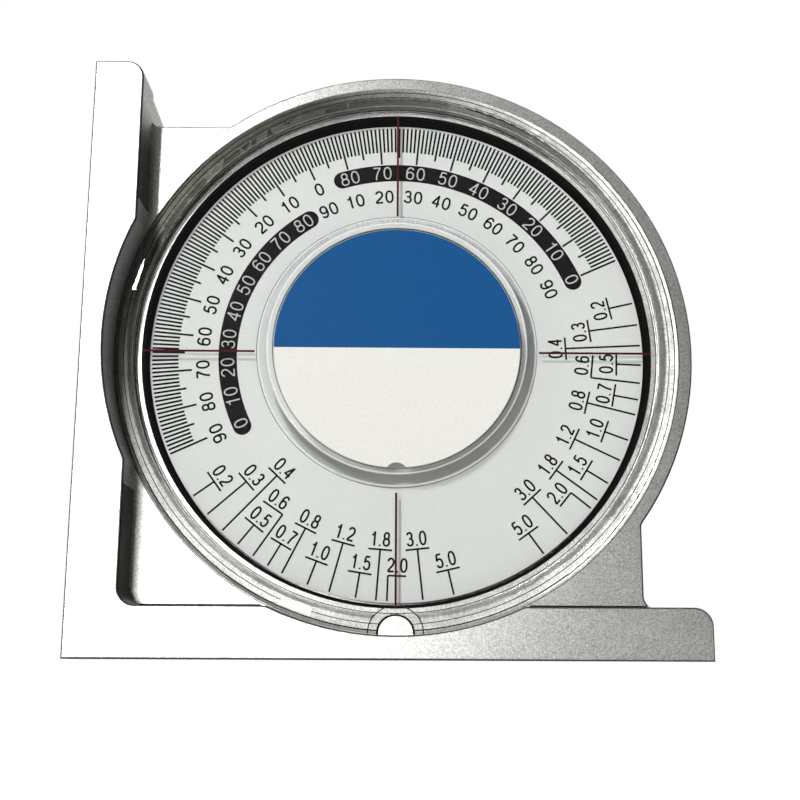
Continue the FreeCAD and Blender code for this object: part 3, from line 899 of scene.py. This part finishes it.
def white_floor():
    """Matte paper, with a glow for the camera alone."""
    material, tree, place = new_material("paper_floor")
    fibre = add(tree, "TexNoise", vector=place, scale=per_mm(3.0), detail=3.0, roughness=0.5)
    paper = add(tree, "BsdfPrincipled", roughness=0.9, specular_ior_level=0.0,
                base_color=add(tree, "ValToRGB", stops=tones("#f0f0f0", "#f4f4f4"), fac=fibre))
    glow = add(tree, "Emission", color=(1, 1, 1, 1), strength=camera_glow)
    rays = add(tree, "LightPath")
    surface = add(tree, "MixShader", i0=rays.outputs["Is Camera Ray"], i1=paper,
                  i2=add(tree, "AddShader", i0=paper, i1=glow))
    add(tree, "OutputMaterial", surface=surface)
    return material


floor_shape = bmesh.new()
bmesh.ops.create_grid(floor_shape, x_segments=1, y_segments=1, size=floor_size)
floor_mesh = bpy.data.meshes.new("floor")
floor_shape.to_mesh(floor_mesh)
floor_shape.free()
floor_mesh.materials.append(white_floor())
floor = bpy.data.objects.new("floor", floor_mesh)
floor.location.z = -floor_drop
bpy.context.scene.collection.objects.link(floor)
print("floor under the base in mm:", round(floor_drop / mm, 2))

# %% [markdown]
# ## The room
#
# The world is white where the camera looks at it, and its far side is white in the metal and
# the plastic too, because they show the background. All other light comes from a room that
# is bright up at the back and dark in front, which shades the round parts of the casting.

# %% Build the room
far_side_starts, far_side_full = -0.1, 0.3
bright_way = (-0.2, 0.85, 0.5)
room_tones = ((0.3, "#4c4c4c"), (0.9, "#ffffff"))


def build_world():
    """White for the camera, and a dim room with a white far side for everything else."""
    world = bpy.data.worlds.new("room")
    bpy.context.scene.world = world
    world.use_nodes = True
    tree = world.node_tree
    tree.nodes.clear()
    direction = add(tree, "TexCoord").outputs["Generated"]
    depth = add(tree, "SeparateXYZ", vector=direction).outputs["Y"]
    behind = add(tree, "MapRange", value=depth, from_min=far_side_starts, from_max=far_side_full)
    side = add(tree, "VectorMath", ALONG, i0=direction, i1=bright_way)
    share = add(tree, "MapRange", value=side, from_min=-1.0, from_max=1.0)
    room = add(tree, "Background", color=add(tree, "ValToRGB", stops=room_tones, fac=share), strength=1.0)
    white = add(tree, "Background", color=(1, 1, 1, 1), strength=1.0)
    rays = add(tree, "LightPath")
    mirrored = add(tree, "Math", EITHER, i0=rays.outputs["Is Glossy Ray"],
                   i1=rays.outputs["Is Transmission Ray"])
    shown = add(tree, "Math", EITHER, i0=add(tree, "Math", BOTH, i0=mirrored, i1=behind),
                i1=rays.outputs["Is Camera Ray"])
    add(tree, "OutputWorld", surface=add(tree, "MixShader", i0=shown, i1=room, i2=white))


build_world()
print("the room is brightest towards:", bright_way)

# %% [markdown]
# ## Two lamps
#
# A small key lamp stands up on the left, where the cross hair's shadow says: 0.34 to the left
# and 0.44 up for each step towards the eye. The fill is a long low strip just above the
# floor. It ends short of the middle, so that the window doesn't mirror it to the camera.

# %% Hang the lamps
lamp_distance = 3.0


def add_lamp(name, direction, width, height, watts):
    """Soft lamp that faces the dial from the given direction."""
    data = bpy.data.lights.new(name, "AREA")
    data.shape = "RECTANGLE"
    data.size = width
    data.size_y = height
    data.energy = watts
    lamp = bpy.data.objects.new(name, data)
    lamp.location = pivot + Vector(direction).normalized() * lamp_distance
    lamp.rotation_euler = (pivot - lamp.location).to_track_quat("-Z", "Y").to_euler()
    lamp.visible_transmission = False
    bpy.context.scene.collection.objects.link(lamp)
    print(name, "lamp above the floor in m:", round(lamp.location.z, 2))


add_lamp("key", (-0.34, -1.0, 0.44), width=0.35, height=0.35, watts=42.0)
add_lamp("fill", (-0.225, -1.0, 0.008), width=0.84, height=0.14, watts=30.0)

bpy.context.scene.view_settings.view_transform = "Standard"
